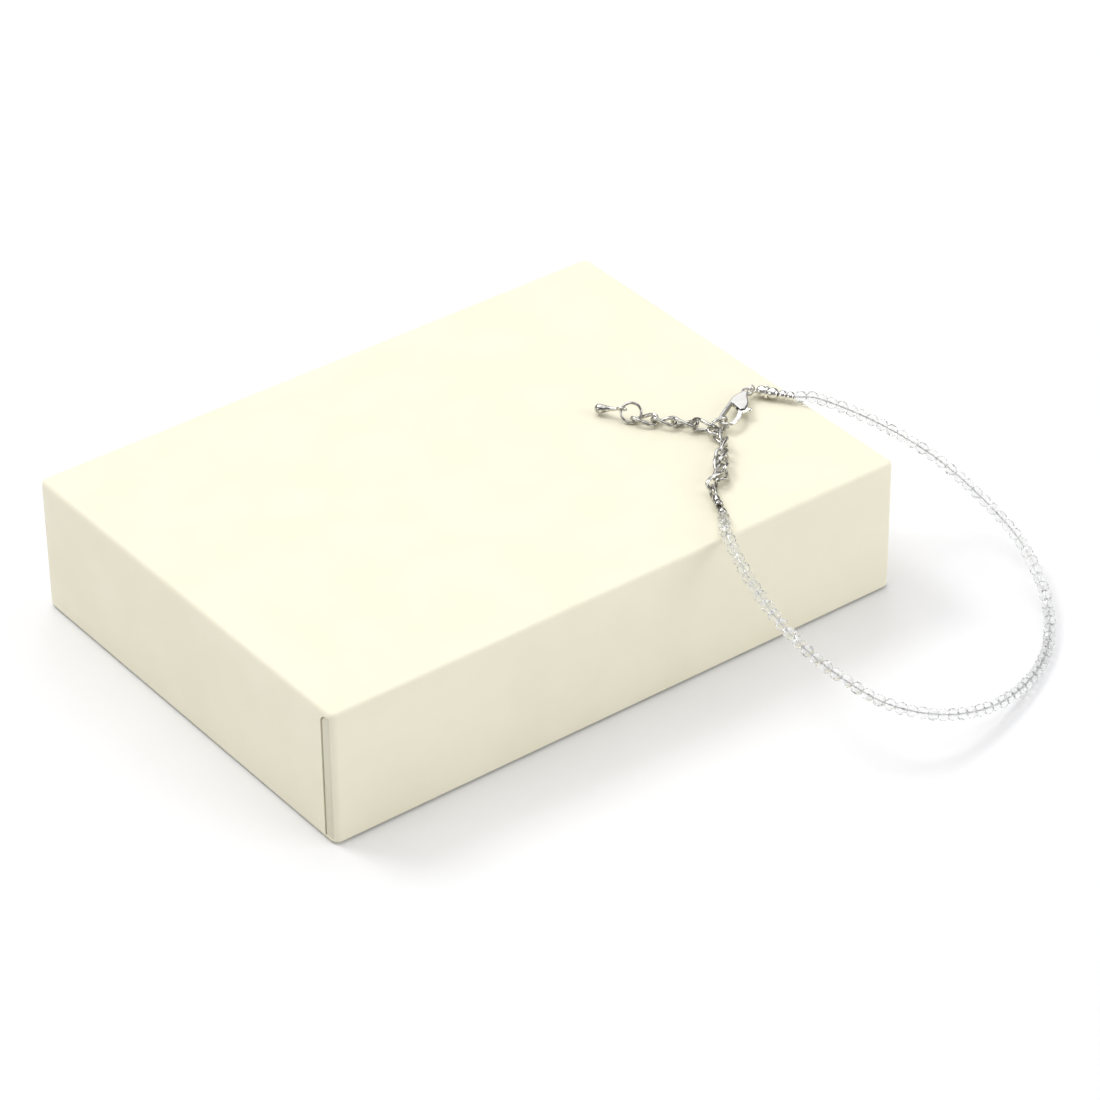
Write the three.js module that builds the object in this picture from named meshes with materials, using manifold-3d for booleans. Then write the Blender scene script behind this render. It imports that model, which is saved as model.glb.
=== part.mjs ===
// A payal anklet: clear faceted beads on a wire, a lobster clasp and an extender chain.
// Its metal ends lie on a closed gift box and its loop of beads hangs over the box's corner.
// Millimetres, +Z up. The origin is the middle of the box's underside.

import * as THREE from 'three';
import { mergeVertices } from 'three/addons/utils/BufferGeometryUtils.js';
import Module from 'manifold-3d';

const wasm = await Module();
wasm.setup();

// Gift box
const boxLength = 127;
const boxWidth = 92.5;
const boxHeight = 28;
const boardThickness = 1.8;
const trayBoardThickness = 1.5;
const lidClearance = 0.4;
const lidTopClearance = 0.3;
const lidLift = 0.6;
const edgeRound = 0.5;
const cornerRound = 0.9;

// Beads and the wire they are threaded on
const beadDiameter = 2.4;
const beadPitch = 2.2;
const beadNeckDiameter = 1.1;
const beadBelt = 0.9;
const beadSides = 10;
const wireDiameter = 0.6;
const wireGap = 0.2;
const restGap = 0.1;

// Crimp beads
const crimpDiameter = 1.8;
const crimpLength = 1.3;
const crimpPitchAtClasp = 1.55;
const crimpPitchAtChain = 2.6;
const roundSides = 12;

// Bead tip: two domed cups with a rim between them and a hook
const cupDiameter = 2.2;
const cupMouthDiameter = 1.8;
const cupLength = 1.9;
const cupEndRound = 0.15;
const rimDiameter = 2.6;
const rimWidth = 0.5;
const rimKnobDiameter = 0.6;
const tipHookDiameter = 1.35;
const tipHookWire = 0.45;
const seatDepth = 0.7;

// Jump ring between the bead tip and the clasp
const claspRingDiameter = 1.95;
const claspRingWire = 0.4;

// Lobster clasp
const claspLength = 12.7;
const claspThickness = 1.2;
const claspWidth = 4.4;
const claspAside = 0.7;
const claspNeckWidth = 1.3;
const claspNeckStart = 0.75;
const claspEyeDiameter = 1.8;
const claspEyeWire = 0.55;
const claspBarWidth = 0.75;
const claspShoulder = 3.9;
const claspLeverShoulder = 5.3;
const claspLeverSide = 2.3;
const claspHookWidth = 3.8;
const claspWindowStart = 5.4;
const claspPlateEnd = 7.0;
const claspEdgeRound = 0.2;
const hookOpening = THREE.MathUtils.degToRad(35);
const leverThickness = 0.55;
const leverBarWidth = 0.8;
const leverGap = 0.13;
const leverPivotAlong = 5.6;
const leverPivotAside = 1.4;
const leverRootDiameter = 1.7;
const leverPinDiameter = 0.6;
const leverKnobDiameter = 1.0;
const leverKnobReach = 1.6;
const leverKnobAlong = 0.1;
const leverBow = 0.5;
const leverBowForward = 1;
const leverTipGap = 0.2;

// Extender chain of twisted links
const linkWire = 0.7;
const linkLength = 5.4;
const linkWidth = 3.1;
const linkTwist = THREE.MathUtils.degToRad(45);
const linkSquareness = 0.7;
const linkSteps = 14;
const linkWireSides = 6;

// Loop that joins the chain to the wire
const endLoopLength = 4.0;
const endLoopWidth = 2.4;
const endLoopWire = 0.6;
const collarDiameter = 1.5;
const collarLength = 1.0;
const collarRound = 0.2;

// Ring and drop on the free end
const endRingDiameter = 3.75;
const endRingWire = 0.55;
const dropDiameter = 1.9;
const dropLength = 4.0;
const dropNeckDiameter = 0.7;
const dropStemLength = 0.9;
const dropEyeDiameter = 1.65;
const dropEyeWire = 0.45;

// Where the fittings lie on the box's lid
const rimFromEnd = 4.8;
const rimFromSide = 30.95;
const rimPlace = new THREE.Vector3(
  boxLength / 2 - rimFromEnd, rimFromSide - boxWidth / 2, boxHeight + rimDiameter / 2 + restGap);
const tipDirection = new THREE.Vector3(0.55, -0.835, 0).normalize();
const claspRingDirection = new THREE.Vector3(-0.95, -0.1, 0.3).normalize();
const claspDirection = new THREE.Vector3(-0.888, -0.458, -0.01).normalize();
const endRingFacing = new THREE.Vector3(-0.5, -0.65, 0.57).normalize();
const dropRingAngle = THREE.MathUtils.degToRad(157);
const dropDirection = new THREE.Vector3(-0.42, 0.84, -0.24).normalize();
const dropEyeFacing = new THREE.Vector3(-0.63, -0.18, -0.75).normalize();
const endLoopDirection = new THREE.Vector3(-0.42, -0.9, 0).normalize();
const endLoopRoll = THREE.MathUtils.degToRad(75);

// Places of the end ring and the end loop: from the tip of the clasp's hook, and above the lid
const endRingAt = [-10.38, 13.44, 1.9];
const endLoopAt = [-14.68, -15.96, 1.35];

// The beads' route, from the last crimp at the clasp to the first crimp at the chain: how far each
// place is past the lid's end, how far in from its side, and its share of the rise from table to lid
const beadRoute = [
  [-1.1, 25.85, 1.007],
  [0.9, 24.65, 0.996],
  [3.8, 23.65, 0.939],
  [12.2, 18.05, 0.743],
  [18.6, 9.25, 0.543],
  [21.8, -1.55, 0.346],
  [22.1, -12.25, 0.182],
  [16.9, -24.55, 0.054],
  [7.9, -34.45, 0],
  [-3.5, -40.55, 0.018],
  [-15.5, -43.45, 0.096],
  [-26.7, -42.75, 0.221],
  [-35.2, -38.95, 0.368],
  [-40.2, -32.75, 0.514],
  [-43.4, -24.45, 0.671],
  [-43.9, -15.95, 0.807],
  [-42.4, -6.45, 0.936],
  [-41.1, -2.15, 0.993],
  [-39.9, 0.65, 1.007],
];

// Places of the chain's links, as for the end ring. In degrees, the turn of each from the line
// between its neighbours, the dip of its end nearer the beads, and its roll. The clasp's hook
// passes through the fifth
const chainLinks = [
  { at: [-9.1, 11.08, 1.2], turn: 0, dip: -3, roll: -2 },
  { at: [-6.59, 8.17, 1.3], turn: 2, dip: -1, roll: -17 },
  { at: [-4.2, 5.17, 1.46], turn: 2, dip: -3, roll: -34 },
  { at: [-2.42, 1.9, 1.85], turn: -10, dip: -10, roll: 104 },
  { at: [-0.51, -0.16, 1.8], turn: -76, dip: 4, roll: -45 },
  { at: [-2.37, -2.92, 1.66], turn: 11, dip: 0, roll: -88 },
  { at: [-4.04, -6.1, 1.76], turn: 0, dip: 3, roll: -91 },
  { at: [-6.53, -8.16, 1.8], turn: -2, dip: 4, roll: -132 },
  { at: [-8.13, -10.26, 1.9], turn: 0, dip: 0, roll: -170 },
  { at: [-9.74, -12.36, 1.52], turn: -2, dip: -5, roll: -206 },
  { at: [-12.55, -13.79, 1.75], turn: 0, dip: 1, roll: -260 },
];

// Finishes
function finish(color, roughness, metalness, extra = {}) {
  return new THREE.MeshStandardMaterial({ color, roughness, metalness, ...extra });
}
const silver = () => finish(0xd4d4d2, 0.18, 1);
const satinSilver = () => finish(0xd6d2ca, 0.4, 1);
const paper = () => finish(0xf6f1da, 0.75, 0);
const crystal = () => finish(0xf4f6f6, 0.05, 0, { transparent: true, opacity: 0.6 });

// Solids
const upward = new THREE.Vector3(0, 0, 1);

function solidOf(geometry, matrix = new THREE.Matrix4()) {
  const bare = geometry.clone().applyMatrix4(matrix);
  bare.deleteAttribute('normal');
  bare.deleteAttribute('uv');
  const merged = mergeVertices(bare, 1e-4);
  return new wasm.Manifold(new wasm.Mesh({
    numProp: 3,
    vertProperties: merged.attributes.position.array,
    triVerts: new Uint32Array(merged.index.array),
  }));
}

function geometryOf(solid) {
  const mesh = solid.getMesh();
  const geometry = new THREE.BufferGeometry();
  geometry.setAttribute('position', new THREE.BufferAttribute(mesh.vertProperties, 3));
  geometry.setIndex(new THREE.BufferAttribute(mesh.triVerts, 1));
  geometry.computeVertexNormals();
  return geometry;
}

function moved(x, y, z) {
  return new THREE.Matrix4().makeTranslation(x, y, z);
}

// A matrix whose X axis is along one direction and whose Z axis is as near another as it can be
function frameAlong(origin, along, up) {
  const x = along.clone().normalize();
  const y = up.clone().cross(x).normalize();
  const z = x.clone().cross(y);
  return new THREE.Matrix4().makeBasis(x, y, z).setPosition(origin);
}

// A matrix whose Z axis is a ring's axis
function frameFacing(origin, facing) {
  const turn = new THREE.Quaternion().setFromUnitVectors(upward, facing);
  return new THREE.Matrix4().makeRotationFromQuaternion(turn).setPosition(origin);
}

function namedMesh(name, geometry, material, matrix = new THREE.Matrix4()) {
  const mesh = new THREE.Mesh(geometry, material);
  mesh.name = name;
  mesh.applyMatrix4(matrix);
  return mesh;
}

// A turned piece: [radius, distance along the axis] pairs about the X axis
function turned(profile, sides = roundSides) {
  const points = profile.map(([radius, along]) => new THREE.Vector2(radius, along));
  return new THREE.LatheGeometry(points, sides).rotateZ(-Math.PI / 2);
}

function ring(diameter, wire, steps = linkSteps) {
  return new THREE.TorusGeometry(diameter / 2, wire / 2, linkWireSides, steps);
}

// Gift box
function roundedRectangle(length, width, radius) {
  const shape = new THREE.Shape();
  const x = length / 2 - radius;
  const y = width / 2 - radius;
  shape.absarc(x, y, radius, 0, Math.PI / 2);
  shape.absarc(-x, y, radius, Math.PI / 2, Math.PI);
  shape.absarc(-x, -y, radius, Math.PI, Math.PI * 1.5);
  shape.absarc(x, -y, radius, Math.PI * 1.5, Math.PI * 2);
  return shape;
}

function softBlock(length, width, height) {
  return new THREE.ExtrudeGeometry(roundedRectangle(length, width, cornerRound), {
    depth: height - 2 * edgeRound,
    curveSegments: 3,
    bevelThickness: edgeRound,
    bevelSize: edgeRound,
    bevelOffset: -edgeRound,
    bevelSegments: 2,
  }).translate(0, 0, edgeRound);
}

function boxLid() {
  const skirt = boxHeight - lidLift;
  const hollowHeight = skirt - boardThickness;
  const hollow = new THREE.BoxGeometry(
    boxLength - 2 * boardThickness, boxWidth - 2 * boardThickness, hollowHeight * 2);
  const shell = solidOf(softBlock(boxLength, boxWidth, skirt)).subtract(solidOf(hollow));
  return namedMesh('box_lid', geometryOf(shell), paper(), moved(0, 0, lidLift));
}

function boxTray() {
  const length = boxLength - 2 * (boardThickness + lidClearance);
  const width = boxWidth - 2 * (boardThickness + lidClearance);
  const height = boxHeight - boardThickness - lidTopClearance;
  const hollow = new THREE.BoxGeometry(
    length - 2 * trayBoardThickness, width - 2 * trayBoardThickness, height * 2);
  const shell = solidOf(softBlock(length, width, height))
    .subtract(solidOf(hollow, moved(0, 0, height + trayBoardThickness)));
  return namedMesh('box_tray', geometryOf(shell), paper());
}

// Where the clasp's eye and the tip of its hook are
const tipHookDistance = rimWidth / 2 + cupLength + (tipHookDiameter - tipHookWire) / 2;
const claspEye = onTipAxis(-tipHookDistance).addScaledVector(claspRingDirection, claspRingDiameter);
const hookTip = claspEye.clone().addScaledVector(claspDirection, claspLength);

// Beads: a straight string is turned first, then laid along its route
const crimpAtClaspOuter = rimWidth / 2 + cupLength + wireGap + crimpLength / 2 + crimpPitchAtClasp;
const claspSeat = rimWidth / 2 + cupLength - seatDepth + wireGap;
const lastCrimpEdge = crimpAtClaspOuter + crimpLength / 2 + wireGap;
const loopEnd = endLoopLength / 2 + collarLength;
const chainSeat = loopEnd - seatDepth + wireGap;
const crimpAtChainOuter = loopEnd + wireGap + crimpLength / 2 + crimpPitchAtChain;
const firstCrimpEdge = crimpAtChainOuter + crimpLength / 2 + wireGap;

function onTipAxis(distance) {
  return rimPlace.clone().addScaledVector(tipDirection, distance);
}

function onLoopAxis(distance) {
  return besideHook(endLoopAt).addScaledVector(endLoopDirection, distance);
}

function besideHook([x, y, above]) {
  return new THREE.Vector3(hookTip.x + x, hookTip.y + y, boxHeight + above);
}

function besideLid([pastEnd, fromSide, rise]) {
  const lowest = beadDiameter / 2 + restGap;
  return new THREE.Vector3(
    boxLength / 2 + pastEnd, fromSide - boxWidth / 2, lowest + rise * boxHeight);
}

function stringRoute() {
  const places = [
    onTipAxis(claspSeat),
    onTipAxis(crimpAtClaspOuter),
    onTipAxis(lastCrimpEdge),
    ...beadRoute.map(besideLid),
    onLoopAxis(firstCrimpEdge),
    onLoopAxis(crimpAtChainOuter),
    onLoopAxis(chainSeat),
  ];
  const route = new THREE.CatmullRomCurve3(places, false, 'centripetal');
  route.arcLengthDivisions = 800;
  return route;
}

function beadString() {
  const route = stringRoute();
  const length = route.getLength();
  const bareAtClasp = lastCrimpEdge - claspSeat;
  const bareAtChain = firstCrimpEdge - chainSeat;
  const beadCount = Math.round((length - bareAtClasp - bareAtChain) / beadPitch);
  const pitch = (length - bareAtClasp - bareAtChain) / beadCount;
  const slope = (pitch - beadBelt) / 2;
  const profile = [[0, 0], [wireDiameter / 2, 0], [wireDiameter / 2, bareAtClasp]];
  for (let bead = 0; bead < beadCount; bead += 1) {
    const start = bareAtClasp + bead * pitch;
    profile.push([beadNeckDiameter / 2, start]);
    profile.push([beadDiameter / 2, start + slope]);
    profile.push([beadDiameter / 2, start + pitch - slope]);
  }
  const lastBeadEnd = length - bareAtChain;
  profile.push([beadNeckDiameter / 2, lastBeadEnd]);
  profile.push([wireDiameter / 2, lastBeadEnd], [wireDiameter / 2, length], [0, length]);
  return namedMesh('bead_string', laidAlong(turned(profile, beadSides), route, length), crystal());
}

// Lays a straight piece, which starts at the origin and runs along X, on a route
function laidAlong(geometry, route, length) {
  const place = geometry.attributes.position;
  for (let index = 0; index < place.count; index += 1) {
    const share = THREE.MathUtils.clamp(place.getX(index) / length, 0, 1);
    const point = route.getPointAt(share);
    const tangent = route.getTangentAt(share);
    const side = upward.clone().cross(tangent).normalize();
    const above = tangent.clone().cross(side);
    point.addScaledVector(side, place.getY(index));
    point.addScaledVector(above, place.getZ(index));
    place.setXYZ(index, point.x, point.y, point.z);
  }
  return geometry;
}

// Crimp beads, threaded on the wire
function crimp(name, place, direction) {
  const bore = wireDiameter / 2 + wireGap;
  const outer = crimpDiameter / 2;
  const mouth = outer * 0.75;
  const half = crimpLength / 2;
  const profile = [
    [bore, -half], [mouth, -half], [outer, -half / 2],
    [outer, half / 2], [mouth, half], [bore, half], [bore, -half],
  ];
  return namedMesh(name, turned(profile), silver(), frameAlong(place, direction, upward));
}

function crimps() {
  const inner = crimpAtClaspOuter - crimpPitchAtClasp;
  const chainInner = crimpAtChainOuter - crimpPitchAtChain;
  return [
    crimp('crimp_clasp_inner', onTipAxis(inner), tipDirection),
    crimp('crimp_clasp_outer', onTipAxis(crimpAtClaspOuter), tipDirection),
    crimp('crimp_chain_inner', onLoopAxis(chainInner), endLoopDirection),
    crimp('crimp_chain_outer', onLoopAxis(crimpAtChainOuter), endLoopDirection),
  ];
}

// Bead tip
function beadTip() {
  const cup = cupDiameter / 2;
  const mouth = cupMouthDiameter / 2;
  const rim = rimDiameter / 2;
  const edge = rimWidth / 2;
  const end = edge + cupLength;
  const bore = wireDiameter / 2 + wireGap;
  const body = turned([
    [0, -end], [mouth * 0.7, -end + cupEndRound], [cup, -edge - cupLength / 2], [mouth, -edge],
    [rim, -edge], [rim, edge], [mouth, edge], [cup, edge + cupLength / 2],
    [mouth * 0.7, end], [bore, end], [bore, end - seatDepth], [0, end - seatDepth],
  ]);
  const knob = new THREE.SphereGeometry(rimKnobDiameter / 2, 8, 6);
  const tip = solidOf(body)
    .add(solidOf(ring(tipHookDiameter, tipHookWire, 12), moved(-tipHookDistance, 0, 0)))
    .add(solidOf(knob, moved(0, 0, rim)));
  return namedMesh('bead_tip', geometryOf(tip), silver(), frameAlong(rimPlace, tipDirection, upward));
}

// The ring passes through the middles of the bead tip's hook and the clasp's eye
function claspRing() {
  const place = onTipAxis(-tipHookDistance)
    .addScaledVector(claspRingDirection, claspRingDiameter / 2);
  const facing = claspRingDirection.clone().cross(upward).normalize();
  const geometry = ring(claspRingDiameter, claspRingWire);
  return namedMesh('clasp_ring', geometry, silver(), frameFacing(place, facing));
}

// Lobster clasp, in its own frame: X from the eye to the hook's tip, Y towards the lever
const hookRadius = claspHookWidth / 2;
const hookCentre = claspLength - hookRadius;
const hookMiddle = hookRadius - claspBarWidth / 2;

function claspOutline() {
  const nearSide = claspAside - claspWidth / 2;
  const neck = claspNeckWidth / 2;
  const bend = (claspShoulder - claspNeckStart) * 0.4;
  const leverBend = (claspLeverShoulder - claspNeckStart) * 0.4;
  const inside = hookRadius - claspBarWidth;
  const shape = new THREE.Shape();
  shape.moveTo(claspNeckStart, -neck);
  shape.bezierCurveTo(
    claspNeckStart + bend, -neck, claspShoulder - bend, nearSide, claspShoulder, nearSide);
  shape.lineTo(hookCentre, claspAside - hookRadius);
  shape.absarc(hookCentre, claspAside, hookRadius, -Math.PI / 2, hookOpening);
  shape.absarc(hookCentre, claspAside, inside, hookOpening, -Math.PI / 2, true);
  shape.lineTo(claspWindowStart, nearSide + claspBarWidth);
  shape.lineTo(claspPlateEnd, claspLeverSide - claspBarWidth);
  shape.lineTo(claspPlateEnd - claspBarWidth, claspLeverSide);
  shape.lineTo(claspLeverShoulder, claspLeverSide);
  shape.bezierCurveTo(
    claspLeverShoulder - leverBend, claspLeverSide, claspNeckStart + leverBend, neck,
    claspNeckStart, neck);
  return shape;
}

function plate(shape, thickness, round, steps) {
  return new THREE.ExtrudeGeometry(shape, {
    depth: thickness - 2 * round,
    curveSegments: steps,
    bevelEnabled: round > 0,
    bevelThickness: round,
    bevelSize: round,
    bevelOffset: -round,
    bevelSegments: 1,
  }).translate(0, 0, round - thickness / 2);
}

function roundPin(diameter, length, place) {
  const pin = new THREE.CylinderGeometry(diameter / 2, diameter / 2, length, 8);
  return solidOf(pin.rotateX(Math.PI / 2), place);
}

const leverPivot = moved(leverPivotAlong, leverPivotAside, 0);

function claspBody() {
  const slotHeight = leverThickness + 2 * leverGap;
  const slotReach = leverRootDiameter / 2 + leverGap;
  const slot = new THREE.BoxGeometry(claspLength, claspWidth, slotHeight);
  const slotPlace = moved(
    leverPivotAlong - slotReach + claspLength / 2,
    leverPivotAside - slotReach + claspWidth / 2,
    0);
  const hookEnd = new THREE.BoxGeometry(claspLength, claspWidth * 2, claspThickness * 2);
  const hookPart = solidOf(
    hookEnd, moved(claspPlateEnd + leverGap + claspLength / 2, claspAside, 0));
  const body = solidOf(plate(claspOutline(), claspThickness, claspEdgeRound, 6));
  const hook = body.intersect(hookPart);
  return body
    .subtract(solidOf(slot, slotPlace))
    .add(hook)
    .add(roundPin(leverPinDiameter, claspThickness - claspEdgeRound, leverPivot))
    .add(solidOf(ring(claspEyeDiameter, claspEyeWire)));
}

// The lever turns on the pin: its bar reaches the hook's end and its knob stands out
function claspLever() {
  const bar = leverBarWidth / 2;
  const root = leverRootDiameter / 2;
  const endAlong = hookCentre + hookMiddle * Math.cos(hookOpening) - leverTipGap - bar * 0.7;
  const endAside = claspAside + hookMiddle * Math.sin(hookOpening) + bar * 0.5;
  const bowAlong = (leverPivotAlong + endAlong) / 2 + leverBowForward;
  const bowAside = claspAside + hookMiddle + leverBow;
  const knobAlong = leverPivotAlong + leverKnobAlong;
  const knobAside = leverPivotAside + leverKnobReach;
  const knobHalf = leverKnobDiameter * 0.4;
  const shape = new THREE.Shape();
  shape.moveTo(leverPivotAlong, leverPivotAside - root);
  shape.quadraticCurveTo(bowAlong, bowAside - bar, endAlong, endAside - bar);
  shape.lineTo(endAlong, endAside + bar);
  shape.quadraticCurveTo(
    bowAlong, bowAside + bar, leverPivotAlong + 2 * root, leverPivotAside + root);
  shape.lineTo(knobAlong + knobHalf, knobAside);
  shape.lineTo(knobAlong - knobHalf, knobAside);
  shape.lineTo(leverPivotAlong - root * 0.7, leverPivotAside + root * 0.7);
  shape.absarc(leverPivotAlong, leverPivotAside, root, Math.PI * 0.75, Math.PI * 1.5);
  const knob = new THREE.SphereGeometry(leverKnobDiameter / 2, 8, 6);
  const knobPlace = moved(knobAlong, knobAside, 0);
  return solidOf(plate(shape, leverThickness, 0, 4))
    .subtract(roundPin(leverPinDiameter + 2 * leverGap, claspThickness, leverPivot))
    .add(solidOf(knob, knobPlace));
}

function clasp() {
  const group = new THREE.Group();
  group.applyMatrix4(frameAlong(claspEye, claspDirection, upward));
  group.add(namedMesh('clasp_body', geometryOf(claspBody()), satinSilver()));
  group.add(namedMesh('clasp_lever', geometryOf(claspLever()), silver()));
  return group;
}

function squared(value) {
  return Math.sign(value) * Math.abs(value) ** linkSquareness;
}

// A link's wire: a blunt oval whose two ends are turned opposite ways about its length
class LinkCurve extends THREE.Curve {
  constructor(length, width, twist) {
    super();
    this.halfLength = length / 2;
    this.halfWidth = width / 2;
    this.twist = twist;
  }

  getPoint(share, target = new THREE.Vector3()) {
    const angle = share * Math.PI * 2;
    const along = squared(Math.cos(angle));
    const turn = along * this.twist;
    const aside = squared(Math.sin(angle)) * this.halfWidth;
    return target.set(along * this.halfLength, aside * Math.cos(turn), aside * Math.sin(turn));
  }
}

function link(length, width, wire, twist) {
  const curve = new LinkCurve(length - wire, width - wire, twist);
  return new THREE.TubeGeometry(curve, linkSteps, wire / 2, linkWireSides, true);
}

function chain() {
  const places = chainLinks.map(({ at }) => besideHook(at));
  return chainLinks.map(({ turn, dip, roll }, index) => {
    const before = places[Math.max(index - 1, 0)];
    const after = places[Math.min(index + 1, places.length - 1)];
    const heading = after.clone().sub(before).setZ(0);
    const matrix = frameAlong(places[index], heading, upward)
      .multiply(new THREE.Matrix4().makeRotationZ(THREE.MathUtils.degToRad(turn)))
      .multiply(new THREE.Matrix4().makeRotationY(THREE.MathUtils.degToRad(dip)))
      .multiply(new THREE.Matrix4().makeRotationX(THREE.MathUtils.degToRad(roll)));
    const geometry = link(linkLength, linkWidth, linkWire, linkTwist);
    return namedMesh(`chain_link_${index + 1}`, geometry, silver(), matrix);
  });
}

function chainEnd() {
  const bore = wireDiameter / 2 + wireGap;
  const collar = collarDiameter / 2;
  const start = endLoopLength / 2 - endLoopWire;
  const end = endLoopLength / 2 + collarLength;
  const socket = turned([
    [0, start], [collar, start + collarRound], [collar, end],
    [bore, end], [bore, end - seatDepth], [0, end - seatDepth],
  ]);
  const loop = solidOf(link(endLoopLength, endLoopWidth, endLoopWire, 0)).add(solidOf(socket));
  const matrix = frameAlong(onLoopAxis(0), endLoopDirection, upward)
    .multiply(new THREE.Matrix4().makeRotationX(endLoopRoll));
  return namedMesh('chain_end', geometryOf(loop), silver(), matrix);
}

function endRing() {
  const geometry = ring(endRingDiameter, endRingWire, 16);
  const matrix = frameFacing(besideHook(endRingAt), endRingFacing);
  return namedMesh('end_ring', geometry, silver(), matrix);
}

// Drop, in its own frame: X from the eye to the round end. The end ring passes through its eye
function dropEyePlace() {
  const side = upward.clone().cross(endRingFacing).normalize();
  const above = endRingFacing.clone().cross(side);
  return besideHook(endRingAt)
    .addScaledVector(side, Math.cos(dropRingAngle) * endRingDiameter / 2)
    .addScaledVector(above, Math.sin(dropRingAngle) * endRingDiameter / 2);
}

function drop() {
  const stemStart = dropEyeDiameter / 2 - dropEyeWire / 4;
  const neckEnd = dropEyeDiameter / 2 + dropStemLength;
  const neck = dropNeckDiameter / 2;
  const belly = dropDiameter / 2;
  const end = neckEnd + dropLength;
  const body = turned([
    [0, stemStart], [neck * 0.8, stemStart + 0.1], [neck, neckEnd],
    [belly * 0.62, neckEnd + dropLength * 0.35], [belly * 0.92, neckEnd + dropLength * 0.66],
    [belly, end - belly], [belly * 0.86, end - belly * 0.45], [belly * 0.5, end - belly * 0.1],
    [0, end],
  ]);
  const whole = solidOf(body).add(solidOf(ring(dropEyeDiameter, dropEyeWire, 12)));
  const matrix = frameAlong(dropEyePlace(), dropDirection, dropEyeFacing);
  return namedMesh('drop', geometryOf(whole), silver(), matrix);
}

const anklet = new THREE.Group();
anklet.add(
  boxTray(), boxLid(), beadString(), ...crimps(), beadTip(), claspRing(), clasp(),
  ...chain(), chainEnd(), endRing(), drop());

export default anklet;
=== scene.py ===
"""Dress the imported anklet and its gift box: cut crystal, silver plate, satin clasp and wrapped board."""

from __future__ import annotations

import logging
import math
from collections.abc import Sequence
from dataclasses import dataclass, field, replace
from enum import Enum

import bmesh
import bpy
from bmesh.types import BMEdge, BMesh, BMFace, BMVert
from bpy.types import ID, Material, Mesh, NodeSocket, Object
from mathutils import Matrix, Vector

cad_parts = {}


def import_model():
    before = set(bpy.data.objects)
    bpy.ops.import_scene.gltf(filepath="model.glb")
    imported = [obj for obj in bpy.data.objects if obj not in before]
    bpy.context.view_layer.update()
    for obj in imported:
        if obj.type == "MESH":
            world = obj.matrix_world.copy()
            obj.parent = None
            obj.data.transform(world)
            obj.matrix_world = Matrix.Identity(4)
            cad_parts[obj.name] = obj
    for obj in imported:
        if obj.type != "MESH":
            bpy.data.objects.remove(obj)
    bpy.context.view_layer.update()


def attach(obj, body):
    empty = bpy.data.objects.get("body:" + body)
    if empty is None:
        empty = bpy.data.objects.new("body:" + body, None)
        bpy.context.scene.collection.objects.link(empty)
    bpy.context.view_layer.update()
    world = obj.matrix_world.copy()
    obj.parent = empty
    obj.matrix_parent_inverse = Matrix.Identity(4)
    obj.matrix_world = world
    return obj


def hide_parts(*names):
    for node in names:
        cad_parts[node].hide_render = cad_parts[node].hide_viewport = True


log = logging.getLogger("anklet")

MM = 0.001
UP = Vector((0.0, 0.0, 1.0))
RESTING_BODY = "boxed_anklet"
LEVER_BODY = "lever"
SHARP_ANGLE = math.radians(38.0)
FLAT_ANGLE = math.radians(1.0)
NEARLY_MM = 0.01
WELD_MM = 1e-5
POLE_WELD_MM = 1e-4

Triple = tuple[float, float, float]


class Shading(Enum):
    """How the faces of a piece meet."""

    CUT = "every facet flat"
    CAST = "smooth, with edges kept where they are sharp"


# Materials


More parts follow.
